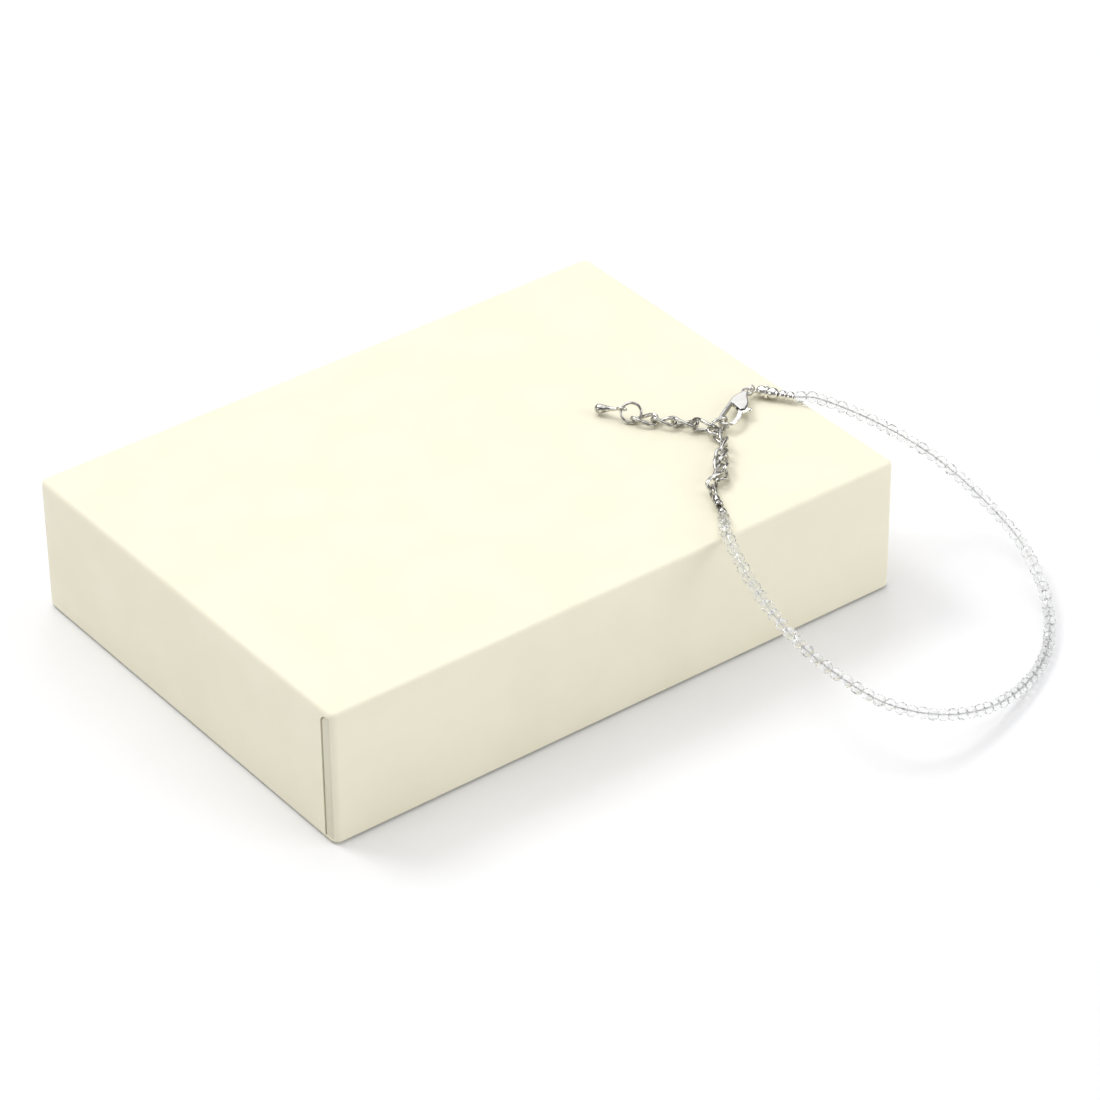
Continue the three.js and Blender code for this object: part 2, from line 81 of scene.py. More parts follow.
class Shader:
    """A material's node tree, built a node at a time."""

    WEAK_TO_STRONG = (0.3, 0.7)
    DARK_TO_LIGHT = (0.35, 0.65)

    def __init__(self, name: str) -> None:
        """Start a material.

        Args:
            name: The material's name.
        """
        self.material = bpy.data.materials.new(name)
        self.material.use_nodes = True
        self.tree = self.material.node_tree
        self.surface = self.tree.nodes["Principled BSDF"]
        self.place = self.tree.nodes.new("ShaderNodeTexCoord").outputs["Object"]

    def noise(self, size_mm: float, detail: float = 2.0,
              stretch: Triple = (1.0, 1.0, 1.0), turn: float = 0.0) -> NodeSocket:
        """Make a noise pattern in the piece's own space.

        Args:
            size_mm: How wide its blotches are.
            detail: How much finer noise is added.
            stretch: How often it repeats along each axis, against the others.
            turn: Turn about the upright axis, in radians.

        Returns:
            The pattern, from 0 to 1.
        """
        mapping = self.tree.nodes.new("ShaderNodeMapping")
        mapping.inputs["Rotation"].default_value = (0.0, 0.0, turn)
        mapping.inputs["Scale"].default_value = stretch
        self.tree.links.new(self.place, mapping.inputs["Vector"])
        texture = self.tree.nodes.new("ShaderNodeTexNoise")
        texture.inputs["Scale"].default_value = 1.0 / (size_mm * MM)
        texture.inputs["Detail"].default_value = detail
        self.tree.links.new(mapping.outputs["Vector"], texture.inputs["Vector"])
        return texture.outputs["Fac"]

    def between(self, pattern: NodeSocket, low: float, high: float, socket: str) -> None:
        """Drive one of the surface's values by a pattern.

        Args:
            pattern: The pattern.
            low: The value where the pattern is weak.
            high: The value where it is strong.
            socket: The name of the surface's socket.
        """
        spread = self.tree.nodes.new("ShaderNodeMapRange")
        names = ("From Min", "From Max", "To Min", "To Max")
        for name, value in zip(names, (*self.WEAK_TO_STRONG, low, high)):
            spread.inputs[name].default_value = value
        self.tree.links.new(pattern, spread.inputs["Value"])
        self.tree.links.new(spread.outputs["Result"], self.surface.inputs[socket])

    def colours(self, pattern: NodeSocket, dark: Triple, light: Triple) -> None:
        """Vary the surface's colour by a pattern.

        Args:
            pattern: The pattern.
            dark: The colour where the pattern is weak.
            light: The colour where it is strong.
        """
        ramp = self.tree.nodes.new("ShaderNodeValToRGB")
        elements = ramp.color_ramp.elements
        for element, position, colour in zip(elements, self.DARK_TO_LIGHT, (dark, light)):
            element.position = position
            element.color = (*colour, 1.0)
        self.tree.links.new(pattern, ramp.inputs["Fac"])
        self.tree.links.new(ramp.outputs["Color"], self.surface.inputs["Base Color"])

    def relief(self, pattern: NodeSocket, height_mm: float, strength: float) -> None:
        """Raise the surface by a pattern.

        Args:
            pattern: The pattern.
            height_mm: How high it stands.
            strength: How much of that shows.
        """
        bump = self.tree.nodes.new("ShaderNodeBump")
        bump.inputs["Strength"].default_value = strength
        bump.inputs["Distance"].default_value = height_mm * MM
        self.tree.links.new(pattern, bump.inputs["Height"])
        self.tree.links.new(bump.outputs["Normal"], self.surface.inputs["Normal"])


@dataclass(frozen=True)
class WrappingPaper:
    """Smooth cream paper glued over board."""

    name: str = "cream_paper"
    shade: Triple = (0.86, 0.82, 0.65)
    tint: Triple = (0.88, 0.845, 0.68)
    blotch_mm: float = 14.0
    fibre_mm: float = 0.5
    fibre_height_mm: float = 0.03
    relief: float = 0.35
    roughness: tuple[float, float] = (0.5, 0.66)
    shine: float = 0.35

    def material(self) -> Material:
        """Return the paper's material."""
        shader = Shader(self.name)
        fibres = shader.noise(self.fibre_mm, detail=4.0)
        shader.colours(shader.noise(self.blotch_mm), self.shade, self.tint)
        shader.between(fibres, *self.roughness, "Roughness")
        shader.relief(fibres, self.fibre_height_mm, self.relief)
        shader.surface.inputs["Specular IOR Level"].default_value = self.shine
        return shader.material


@dataclass(frozen=True)
class CutCrystal:
    """Clear cut glass."""

    name: str = "clear_crystal"
    dark: Triple = (0.96, 0.97, 0.97)
    light: Triple = (1.0, 1.0, 1.0)
    roughness: tuple[float, float] = (0.0, 0.05)
    refraction: float = 1.25
    clearness: float = 0.92
    gloss: float = 0.7
    flaw_mm: float = 0.9

    def material(self) -> Material:
        """Return the glass's material."""
        shader = Shader(self.name)
        flaws = shader.noise(self.flaw_mm)
        shader.colours(flaws, self.dark, self.light)
        shader.between(flaws, *self.roughness, "Roughness")
        shader.surface.inputs["Transmission Weight"].default_value = self.clearness
        shader.surface.inputs["IOR"].default_value = self.refraction
        shader.surface.inputs["Coat Weight"].default_value = self.gloss
        return shader.material


@dataclass(frozen=True)
class Metal:
    """Plated or tinned metal, its colour and roughness varied by a noise pattern."""

    name: str
    dark: Triple
    light: Triple
    roughness: tuple[float, float]
    mark_mm: float
    detail: float = 3.0
    height_mm: float = 0.0
    relief: float = 0.0
    stretch: Triple = (1.0, 1.0, 1.0)
    turn: float = 0.0

    def material(self) -> Material:
        """Return the metal's material."""
        shader = Shader(self.name)
        marks = shader.noise(self.mark_mm, self.detail, self.stretch, self.turn)
        shader.colours(marks, self.dark, self.light)
        shader.between(marks, *self.roughness, "Roughness")
        if self.height_mm:
            shader.relief(marks, self.height_mm, self.relief)
        shader.surface.inputs["Metallic"].default_value = 1.0
        return shader.material


CREAM_PAPER = WrappingPaper()
# Silver darkened and strongly mottled: partly the plate's own uneven tone, partly painted dark reflections
# and shading on the wire
PLATE_PAINTED_DARK = Metal("silver_plate_painted_dark", (0.29, 0.28, 0.26), (0.74, 0.73, 0.70), (0.05, 0.16),
                    mark_mm=0.7, height_mm=0.02, relief=0.25)


class Finish(Enum):
    """The finishes that the pieces share: what makes each material, and its slot in the record."""

    PAPER = (CREAM_PAPER, "box_paper")
    # Darker paper for the open corner's lap: painted shade, where the strip turns away from the lights
    PASTED_LAP = (replace(CREAM_PAPER, name="lap_painted_shade_paper", shade=(0.70, 0.665, 0.525),
                          tint=(0.73, 0.70, 0.56)), "box_paper")
    CRYSTAL = (CutCrystal(), "crystal")
    # Chain links, end loop, end ring, drop and the chain's crimps: silver with painted dark reflections
    SILVER = (PLATE_PAINTED_DARK, "silver")
    BRIGHT = (replace(PLATE_PAINTED_DARK, name="bright_silver_plate", dark=(0.66, 0.645, 0.61),
                      light=(0.90, 0.885, 0.85)), "silver")
    # Brushed along the clasp
    SATIN = (Metal("satin_silver_plate", (0.52, 0.51, 0.49), (0.71, 0.70, 0.68), (0.27, 0.42),
                   mark_mm=0.12, height_mm=0.01, relief=0.3, stretch=(0.06, 1.0, 1.0),
                   turn=math.radians(-27.3)), "satin_silver")
    # The tinned wire that shows through the beads
    WIRE = (Metal("dull_wire", (0.45, 0.45, 0.45), (0.74, 0.74, 0.73), (0.25, 0.4),
                  mark_mm=0.3, detail=2.0), "silver")

    @property
    def material(self) -> Material:
        """Return the finish's material, which is made when it is first asked for."""
        look = self.value[0]
        return bpy.data.materials.get(look.name) or look.material()

    @property
    def slot(self) -> str:
        """Return the record's name for the material."""
        return self.value[1]


# Shapes, in millimetres until a piece is finished


def new_object(name: str, data: ID) -> Object:
    """Put a new object in the scene.

    Args:
        name: Its name.
        data: Its mesh, light or camera.

    Returns:
        The object.
    """
    made = bpy.data.objects.new(name, data)
    bpy.context.scene.collection.objects.link(made)
    return made


def new_mesh(name: str, bm: BMesh) -> Mesh:
    """Turn a worked mesh into one that an object can have.

    Args:
        name: Its name.
        bm: The worked mesh, which is used up.

    Returns:
        The mesh.
    """
    mesh = bpy.data.meshes.new(name)
    bm.to_mesh(mesh)
    bm.free()
    return mesh


def frame_along(origin: Vector, along: Vector, up: Vector = UP) -> Matrix:
    """Make a matrix whose X axis is along a direction and whose Z axis is as near another as can be.

    Args:
        origin: Where it sits.
        along: The direction of X.
        up: The direction Z is near.

    Returns:
        The matrix.
    """
    x = along.normalized()
    y = up.cross(x).normalized()
    z = x.cross(y)
    turn = Matrix((x, y, z)).transposed().to_4x4()
    return Matrix.Translation(origin) @ turn


def frame_facing(origin: Vector, facing: Vector) -> Matrix:
    """Make a matrix whose Z axis is a ring's axis.

    Args:
        origin: The ring's middle.
        facing: The direction of its axis.

    Returns:
        The matrix.
    """
    return Matrix.Translation(origin) @ UP.rotation_difference(facing).to_matrix().to_4x4()


def newer(bm: BMesh, older: set[BMVert]) -> list[BMVert]:
    """Return the vertices that have come since a set of them was kept."""
    return [vert for vert in bm.verts if vert not in older]


def edges_of(verts: Sequence[BMVert]) -> list[BMEdge]:
    """Return the edges at some vertices, each once and always in the same order."""
    return list(dict.fromkeys(edge for vert in verts for edge in vert.link_edges))


def add_turned(bm: BMesh, profile: Sequence[tuple[float, float]], place: Matrix,
               steps: int = 40) -> None:
    """Add a turned piece.

    Args:
        bm: The mesh it is added to.
        profile: Its half section, as pairs of a radius and a distance along the X axis.
        place: Where it goes.
        steps: How many sides it has.
    """
    older = set(bm.verts)
    verts = [bm.verts.new((along, 0.0, radius)) for radius, along in profile]
    edges = [bm.edges.new(pair) for pair in zip(verts, verts[1:])]
    bmesh.ops.spin(bm, geom=verts + edges, cent=(0.0, 0.0, 0.0), axis=(1.0, 0.0, 0.0),
                   angle=math.tau, steps=steps, use_merge=True)
    bmesh.ops.remove_doubles(bm, verts=newer(bm, older), dist=POLE_WELD_MM)
    bmesh.ops.transform(bm, matrix=place, verts=newer(bm, older))


def add_ring(bm: BMesh, diameter: float, wire: float, place: Matrix,
             steps: int = 48, sides: int = 14) -> list[BMVert]:
    """Add a ring of round wire about its own Z axis.

    Args:
        bm: The mesh it is added to.
        diameter: The ring's diameter, to the middle of its wire.
        wire: The wire's diameter.
        place: Where it goes.
        steps: How many steps go round the ring.
        sides: How many sides the wire has.

    Returns:
        The ring's vertices.
    """
    older = set(bm.verts)
    upright = Matrix.Translation((diameter / 2, 0.0, 0.0)) @ Matrix.Rotation(math.pi / 2, 4, "X")
    section = bmesh.ops.create_circle(bm, segments=sides, radius=wire / 2, matrix=upright)["verts"]
    bmesh.ops.spin(bm, geom=section + edges_of(section), cent=(0.0, 0.0, 0.0), axis=(0.0, 0.0, 1.0),
                   angle=math.tau, steps=steps, use_merge=True)
    bmesh.ops.remove_doubles(bm, verts=newer(bm, older), dist=WELD_MM)
    made = newer(bm, older)
    bmesh.ops.transform(bm, matrix=place, verts=made)
    return made


def piece(bm: BMesh, name: str, finish: Finish, shading: Shading = Shading.CAST,
          body: str = RESTING_BODY, replaces: Sequence[str] = ()) -> Object:
    """Turn a mesh in millimetres into a piece of the scene.

    Args:
        bm: The mesh, which is used up.
        name: The piece's name.
        finish: Its finish.
        shading: How its faces meet.
        body: The body it rides on.
        replaces: The nodes it stands for.

    Returns:
        The piece.
    """
    bmesh.ops.scale(bm, vec=(MM, MM, MM), verts=bm.verts)
    bmesh.ops.recalc_face_normals(bm, faces=bm.faces)
    return dress(new_mesh(name, bm), name, finish, shading, body, replaces)


def dress(mesh: Mesh, name: str, finish: Finish, shading: Shading, body: str,
          replaces: Sequence[str]) -> Object:
    """Make a piece of a finished mesh in metres.

    Args:
        mesh: The mesh.
        name: The piece's name.
        finish: Its finish.
        shading: How its faces meet.
        body: The body it rides on.
        replaces: The nodes it stands for.

    Returns:
        The piece.
    """
    if mesh.materials:
        mesh.materials.clear()
    mesh.materials.append(finish.material)
    smooth = shading is Shading.CAST
    mesh.polygons.foreach_set("use_smooth", [smooth] * len(mesh.polygons))
    if smooth:
        mesh.set_sharp_from_angle(angle=SHARP_ANGLE)
    made = new_object(name, mesh)
    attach(made, body)
    if replaces:
        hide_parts(*replaces)
    log.info("%s: %d faces", name, len(mesh.polygons))
    return made


# Where the fittings lie on the lid


def place_field(x: float, y: float, z: float) -> Vector:
    """Return a dataclass's field that holds a place."""
    return field(default_factory=lambda: Vector((x, y, z)))


def direction_field(x: float, y: float, z: float) -> Vector:
    """Return a dataclass's field that holds a direction."""
    return field(default_factory=lambda: Vector((x, y, z)).normalized())


@dataclass
class Layout:
    """The places and directions that the fittings share."""

    rim_place: Vector = place_field(58.7, -15.3, 29.4)
    tip_direction: Vector = direction_field(0.55, -0.835, 0.0)
    ring_direction: Vector = direction_field(-0.95, -0.1, 0.3)
    end_loop_place: Vector = place_field(29.45, -35.1, 29.35)
    end_loop_direction: Vector = direction_field(-0.42, -0.9, 0.0)
    end_loop_roll: float = math.radians(75.0)
    end_ring_place: Vector = place_field(33.75, -5.7, 29.9)
    end_ring_facing: Vector = direction_field(-0.5, -0.65, 0.57)
    wire_diameter: float = 0.6
    wire_gap: float = 0.2
    bore_gap: float = 0.1
    seat_depth: float = 0.7
    crimp_length: float = 1.3

    @property
    def bore(self) -> float:
        """Return the radius of a hole for the wire."""
        return self.wire_diameter / 2 + self.bore_gap

    def on_tip_axis(self, distance: float) -> Vector:
        """Return a place on the bead tip's axis, from its rim towards the beads."""
        return self.rim_place + self.tip_direction * distance

    def on_loop_axis(self, distance: float) -> Vector:
        """Return a place on the end loop's axis, from its middle towards the beads."""
        return self.end_loop_place + self.end_loop_direction * distance


# Beads


@dataclass
class BeadRoute:
    """The line that the wire takes through the beads, smooth through its chosen places."""

    places: list[Vector]
    steps: int = 60

    def __post_init__(self) -> None:
        """Walk the route once and keep its points and how far along each is."""
        ends = [2 * self.places[0] - self.places[1], 2 * self.places[-1] - self.places[-2]]
        through = [ends[0], *self.places, ends[1]]
        self.points = [self.places[0].copy()]
        for corners in zip(through, through[1:], through[2:], through[3:]):
            self.points += [self.span(corners, step / self.steps) for step in range(1, self.steps + 1)]
        self.distances = [0.0]
        for before, after in zip(self.points, self.points[1:]):
            self.distances.append(self.distances[-1] + (after - before).length)

    @staticmethod
    def span(corners: tuple[Vector, Vector, Vector, Vector], share: float) -> Vector:
        """Return a point between the middle two of four places.

        Args:
            corners: The four places.
            share: How far it is from the second to the third.

        Returns:
            The point.
        """
        first, start, end, last = corners
        gaps = [math.sqrt((b - a).length) for a, b in zip(corners, corners[1:])]
        leave = (start - first) / gaps[0] - (end - first) / (gaps[0] + gaps[1]) + (end - start) / gaps[1]
        arrive = (end - start) / gaps[1] - (last - start) / (gaps[1] + gaps[2]) + (last - end) / gaps[2]
        leave = leave * gaps[1]
        arrive = arrive * gaps[1]
        square = -3 * start + 3 * end - 2 * leave - arrive
        cube = 2 * start - 2 * end + leave + arrive
        return start + leave * share + square * share ** 2 + cube * share ** 3

    @property
    def length(self) -> float:
        """Return the route's length."""
        return self.distances[-1]

    def at(self, distance: float) -> tuple[Vector, Vector]:
        """Find a point on the route.

        Args:
            distance: How far along it is.

        Returns:
            The point, and the direction of the route there.
        """
        low, high = 0, len(self.distances) - 1
        while high - low > 1:
            middle = (low + high) // 2
            if self.distances[middle] <= distance:
                low = middle
            else:
                high = middle
        span = self.distances[high] - self.distances[low]
        share = (distance - self.distances[low]) / span
        direction = self.points[high] - self.points[low]
        return self.points[low] + direction * share, direction.normalized()


@dataclass
class StringOfBeads:
    """Clear cut beads, threaded close together on a bent wire."""

    layout: Layout
    bead_diameter: float = 2.4
    bead_pitch: float = 2.2
    bead_length: float = 2.12
    end_diameter: float = 1.1
    shoulder_diameter: float = 2.02
    shoulder_length: float = 1.3
    cuts: int = 8
    roll_step: float = math.radians(29.0)
    wire_shown: float = 0.22
    wire_step: float = 1.1
    wire_sides: int = 8
    # From the last crimp at the clasp to the first crimp at the chain
    chosen_places: tuple[Triple, ...] = (
        (62.4, -20.4, 29.5), (64.4, -21.6, 29.2), (67.3, -22.6, 27.6),
        (75.7, -28.2, 22.1), (82.1, -37.0, 16.5), (85.3, -47.8, 11.0),
        (85.6, -58.5, 6.4), (80.4, -70.8, 2.8), (71.4, -80.7, 1.3),
        (60.0, -86.8, 1.8), (48.0, -89.7, 4.0), (36.8, -89.0, 7.5),
        (28.3, -85.2, 11.6), (23.3, -79.0, 15.7), (20.1, -70.7, 20.1),
        (19.6, -62.2, 23.9), (21.1, -52.7, 27.5), (22.4, -48.4, 29.1),
        (23.6, -45.6, 29.5),
    )

    def route(self, crimps: "Crimps") -> BeadRoute:
        """Lay the wire's route through the crimps and the chosen places.

        Args:
            crimps: The crimps at both ends.

        Returns:
            The route.
        """
        layout = self.layout
        return BeadRoute([
            layout.on_tip_axis(crimps.tip_seat),
            layout.on_tip_axis(crimps.at_tip[1]),
            layout.on_tip_axis(crimps.past_tip),
            *[Vector(place) for place in self.chosen_places],
            layout.on_loop_axis(crimps.past_loop),
            layout.on_loop_axis(crimps.at_loop[1]),
            layout.on_loop_axis(crimps.loop_seat),
        ])

    def one_bead(self) -> Mesh:
        """Cut one bead: two end tables, and rows of facets that meet in a zigzag.

        Returns:
            The bead, along the X axis.
        """
        rows = (
            (self.end_diameter, -self.bead_length / 2, 0.0),
            (self.shoulder_diameter, -self.shoulder_length / 2, 0.5),
            (self.bead_diameter, 0.0, 0.0),
            (self.shoulder_diameter, self.shoulder_length / 2, 0.5),
            (self.end_diameter, self.bead_length / 2, 0.0),
        )
        bm = bmesh.new()
        for diameter, along, shift in rows:
            turn = Matrix.Rotation(math.tau * shift / self.cuts, 4, "X")
            place = Matrix.Translation((along, 0.0, 0.0)) @ turn @ Matrix.Rotation(math.pi / 2, 4, "Y")
            bmesh.ops.create_circle(bm, segments=self.cuts, radius=diameter / 2, matrix=place)
        bmesh.ops.convex_hull(bm, input=bm.verts)
        bmesh.ops.dissolve_limit(bm, angle_limit=FLAT_ANGLE, verts=bm.verts, edges=bm.edges)
        bmesh.ops.triangulate(bm, faces=[face for face in bm.faces if len(face.verts) > 4])
        return new_mesh("one_bead", bm)

    def build(self, crimps: "Crimps") -> None:
        """Thread the beads and draw the wire inside them.

        Args:
            crimps: The crimps at both ends.
        """
        route = self.route(crimps)
        bare_at_tip = crimps.past_tip - crimps.tip_seat
        bare_at_loop = crimps.past_loop - crimps.loop_seat
        beaded = route.length - bare_at_tip - bare_at_loop
        count = round(beaded / self.bead_pitch)
        pitch = beaded / count
        bead = self.one_bead()
        bm = bmesh.new()
        for index in range(count):
            middle, direction = route.at(bare_at_tip + (index + 0.5) * pitch)
            older = set(bm.verts)
            bm.from_mesh(bead)
            roll = Matrix.Rotation(index * self.roll_step, 4, "X")
            bmesh.ops.transform(bm, matrix=frame_along(middle, direction) @ roll, verts=newer(bm, older))
        bpy.data.meshes.remove(bead)
        piece(bm, "crystal_beads", Finish.CRYSTAL, Shading.CUT, replaces=("bead_string",))
        self.draw_wire(route)

    def draw_wire(self, route: BeadRoute) -> None:
        """Draw the wire along its route.

        Args:
            route: The wire's route.
        """
        steps = round(route.length / self.wire_step)
        pitch = route.length / steps
        bm = bmesh.new()
        upright = Matrix.Rotation(math.pi / 2, 4, "Y")
        section = bmesh.ops.create_circle(
            bm, segments=self.wire_sides, radius=self.wire_shown / 2, matrix=upright)["verts"]
        bmesh.ops.spin(bm, geom=section + edges_of(section), cent=(0.0, 0.0, 0.0), axis=(1.0, 0.0, 0.0),
                       dvec=(pitch, 0.0, 0.0), angle=0.0, steps=steps, use_merge=False)
        bmesh.ops.holes_fill(bm, edges=[edge for edge in bm.edges if edge.is_boundary])
        for vert in bm.verts:
            middle, direction = route.at(min(max(vert.co.x, 0.0), route.length - 1e-6))
            vert.co = frame_along(middle, direction) @ Vector((0.0, vert.co.y, vert.co.z))
        piece(bm, "bead_wire", Finish.WIRE)


# Fittings at the clasp


@dataclass
class Crimps:
    """Two crimp beads at each end of the beads."""

    layout: Layout
    diameter: float = 1.8
    pitch_at_tip: float = 1.55
    pitch_at_loop: float = 2.6
    tip_reach: float = 2.15
    loop_reach: float = 3.0

    def __post_init__(self) -> None:
        """Work out where the crimps and the wire's ends are on their axes."""
        half = self.layout.crimp_length / 2
        gap = self.layout.wire_gap
        first_at_tip = self.tip_reach + gap + half
        first_at_loop = self.loop_reach + gap + half
        self.at_tip = (first_at_tip, first_at_tip + self.pitch_at_tip)
        self.at_loop = (first_at_loop, first_at_loop + self.pitch_at_loop)
        self.tip_seat = self.tip_reach - self.layout.seat_depth + gap
        self.loop_seat = self.loop_reach - self.layout.seat_depth + gap
        self.past_tip = self.at_tip[1] + half + gap
        self.past_loop = self.at_loop[1] + half + gap

    def one(self, name: str, node: str, place: Matrix, plate: Finish) -> None:
        """Turn one crimp with a rolled edge at each end.

        Args:
            name: The piece's name.
            node: The node it stands for.
            place: Where it goes, with its X axis along the wire.
            plate: Its finish.
        """
        bore = self.layout.bore
        outer = self.diameter / 2
        half = self.layout.crimp_length / 2
        rim = [(bore, -half), (outer * 0.72, -half), (outer * 0.88, -half * 0.8),
               (outer * 0.97, -half * 0.5)]
        middle = [(outer, -half * 0.15), (outer, half * 0.15)]
        other = [(radius, -along) for radius, along in reversed(rim)]
        bm = bmesh.new()
        add_turned(bm, [*rim, *middle, *other, (bore, -half)], place)
        piece(bm, name, plate, replaces=(node,))

    def build(self) -> None:
        """Make the four crimps."""
        layout = self.layout
        for end, distances, on_axis, direction, plate in (
                ("clasp", self.at_tip, layout.on_tip_axis, layout.tip_direction, Finish.BRIGHT),
                ("chain", self.at_loop, layout.on_loop_axis, layout.end_loop_direction, Finish.SILVER)):
            for along, which in zip(distances, ("inner", "outer")):
                place = frame_along(on_axis(along), direction)
                self.one(f"{end}_crimp_{which}", f"crimp_{end}_{which}", place, plate)


@dataclass
class BeadTip:
    """Two domed cups that close over the wire's end, with a hook for the clasp."""

    layout: Layout
    cup_diameter: float = 2.2
    mouth_diameter: float = 1.8
    cup_length: float = 1.9
    rim_diameter: float = 2.6
    rim_width: float = 0.5
    rim_roll: float = 0.1
    knob_diameter: float = 0.6
    hook_diameter: float = 1.35
    hook_wire: float = 0.45
    clasp_ring_diameter: float = 1.95
    clasp_ring_wire: float = 0.4

    @property
    def hook_distance(self) -> float:
        """Return how far the hook's middle is from the rim."""
        return self.rim_width / 2 + self.cup_length + (self.hook_diameter - self.hook_wire) / 2

    def dome(self, side: int) -> list[tuple[float, float]]:
        """Return one cup's half section, from the rim outwards.

        Args:
            side: 1 for the cup at the beads, -1 for the one at the clasp.

        Returns:
            Pairs of a radius and a distance.
        """
        cup = self.cup_diameter / 2
        mouth = self.mouth_diameter / 2
        edge = self.rim_width / 2
        shares = ((mouth, 0.0), (cup * 0.94, 0.2), (cup, 0.45), (cup * 0.96, 0.65), (cup * 0.84, 0.82),
                  (mouth * 0.74, 0.95), (mouth * 0.6, 1.0))
        return [(radius, side * (edge + share * self.cup_length)) for radius, share in shares]

    def build(self) -> None:
        """Make the bead tip and the ring that joins it to the clasp."""
        layout = self.layout
        place = frame_along(layout.rim_place, layout.tip_direction)
        rim = self.rim_diameter / 2
        edge = self.rim_width / 2
        end = edge + self.cup_length
        rolled = [(rim - self.rim_roll, -edge), (rim, -edge * 0.4), (rim, edge * 0.4),
                  (rim - self.rim_roll, edge)]
        seat = end - layout.seat_depth
        mouth = [(layout.bore, end), (layout.bore, seat), (0.0, seat)]
        bm = bmesh.new()
        add_turned(bm, [(0.0, -end), *reversed(self.dome(-1)), *rolled, *self.dome(1), *mouth], place)
        bmesh.ops.create_uvsphere(
            bm, u_segments=16, v_segments=10, radius=self.knob_diameter / 2,
            matrix=place @ Matrix.Translation((0.0, 0.0, rim)))
        at_hook = place @ Matrix.Translation((-self.hook_distance, 0.0, 0.0))
        add_ring(bm, self.hook_diameter, self.hook_wire, at_hook)
        piece(bm, "bead_tip_cups", Finish.BRIGHT, replaces=("bead_tip",))
        bm = bmesh.new()
        hook = layout.on_tip_axis(-self.hook_distance)
        ring_middle = hook + layout.ring_direction * self.clasp_ring_diameter / 2
        facing = layout.ring_direction.cross(UP).normalized()
        add_ring(bm, self.clasp_ring_diameter, self.clasp_ring_wire, frame_facing(ring_middle, facing))
        piece(bm, "jump_ring", Finish.BRIGHT, replaces=("clasp_ring",))


@dataclass
class CastClasp:
    """The lobster clasp: its solids with their edges rounded as casting and polishing round them."""

    grain_mm: float = 0.075
    polishing: int = 5
    polish: float = 0.5
    weld_gap: float = 1e-7

    def cast(self, node: str) -> Mesh:
        """Round a solid's edges.

        Args:
            node: The solid's node.

        Returns:
            The rounded mesh, in metres.
        """
        bm = bmesh.new()
        bm.from_mesh(bpy.data.objects[node].data)
        bmesh.ops.remove_doubles(bm, verts=bm.verts, dist=self.weld_gap)
        holder = new_object(f"{node}_holder", new_mesh(f"{node}_rough", bm))
        remesh = holder.modifiers.new("grain", "REMESH")
        remesh.mode = "VOXEL"
        remesh.voxel_size = self.grain_mm * MM
        graph = bpy.context.evaluated_depsgraph_get()
        fine = bpy.data.meshes.new_from_object(holder.evaluated_get(graph))
        bpy.data.objects.remove(holder)
        bm = bmesh.new()
        bm.from_mesh(fine)
        for _ in range(self.polishing):
            bmesh.ops.smooth_vert(bm, verts=bm.verts, factor=self.polish,
                                  use_axis_x=True, use_axis_y=True, use_axis_z=True)
        bm.to_mesh(fine)
        bm.free()
        return fine

    def build(self) -> None:
        """Make the clasp's body and lever."""
        for node, name, finish, body in (
                ("clasp_body", "lobster_body", Finish.SATIN, RESTING_BODY),
                ("clasp_lever", "lobster_lever", Finish.BRIGHT, LEVER_BODY)):
            dress(self.cast(node), name, finish, Shading.CAST, body, (node,))


# Extender chain


@dataclass(frozen=True)
class LinkPlace:
    """Where a link lies, and its angles in degrees."""

    at: Triple
    turn: float
    dip: float
    roll: float


